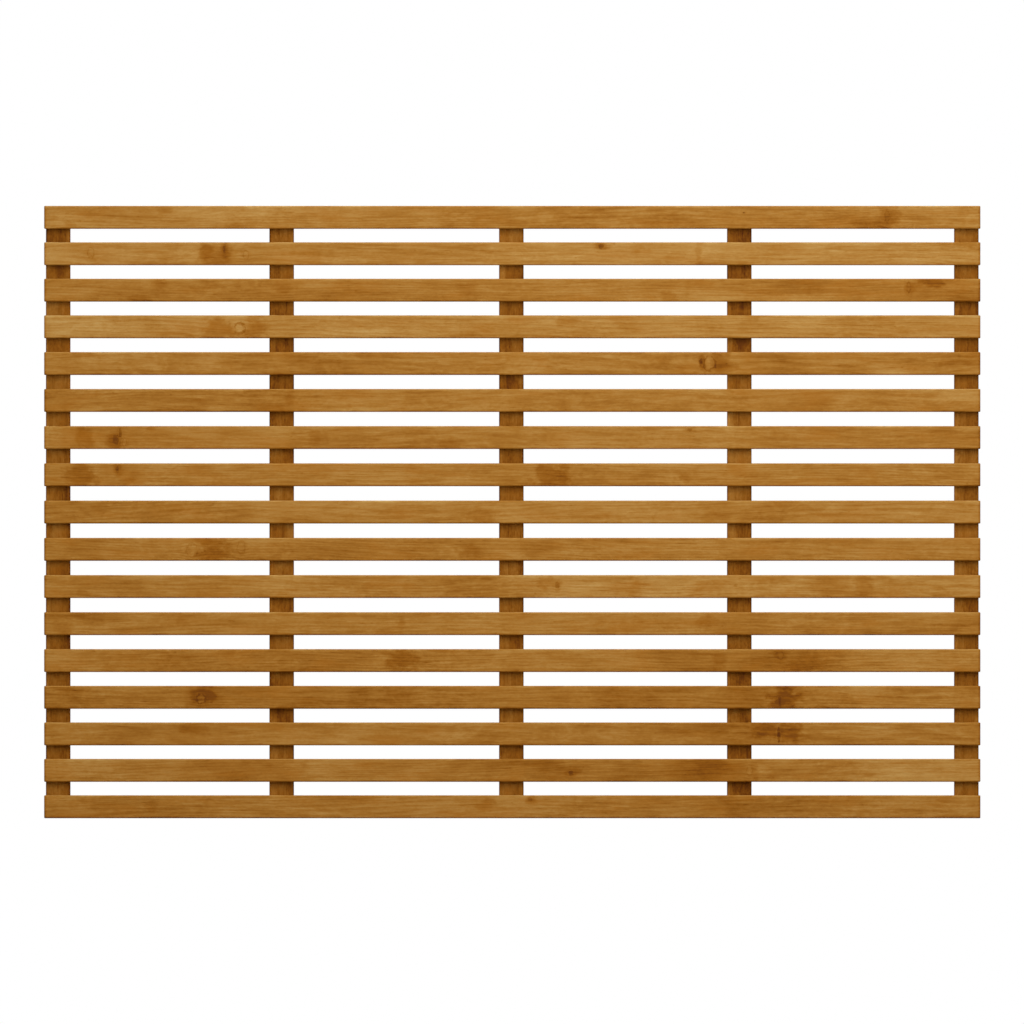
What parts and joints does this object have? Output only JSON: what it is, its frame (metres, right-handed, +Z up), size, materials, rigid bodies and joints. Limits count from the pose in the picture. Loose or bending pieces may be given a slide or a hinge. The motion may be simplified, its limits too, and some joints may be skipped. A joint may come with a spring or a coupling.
{
  "type": "trellis panel",
  "caption": "Rectangular slatted garden trellis panel: level softwood slats with even gaps, screwed from behind to upright battens, as a screen that climbing plants grow through.",
  "frame": {"origin": "middle of the lower edge, half way through the panel's depth", "axes": "+X along the slats, +Z up along the battens, +Y from the slats to the battens, so the front faces -Y"},
  "size_m": [1.83, 0.038, 1.197],
  "materials": {
    "slat_wood": "planed softwood with a golden brown dip stain",
    "batten_wood": "planed softwood with a golden brown dip stain",
    "screw_steel": "zinc plated, lightly yellowed"
  },
  "bodies": {
    "root": {"slat_01": "slat_wood", "slat_02": "slat_wood", "slat_03": "slat_wood", "slat_04": "slat_wood", "slat_05": "slat_wood", "slat_06": "slat_wood", "slat_07": "slat_wood", "slat_08": "slat_wood", "slat_09": "slat_wood", "slat_10": "slat_wood", "slat_11": "slat_wood", "slat_12": "slat_wood", "slat_13": "slat_wood", "slat_14": "slat_wood", "slat_15": "slat_wood", "slat_16": "slat_wood", "slat_17": "slat_wood", "batten_1": "batten_wood", "batten_2": "batten_wood", "batten_3": "batten_wood", "batten_4": "batten_wood", "batten_5": "batten_wood", "batten_1_screws": "screw_steel", "batten_2_screws": "screw_steel", "batten_3_screws": "screw_steel", "batten_4_screws": "screw_steel", "batten_5_screws": "screw_steel"}
  },
  "joints": []
}
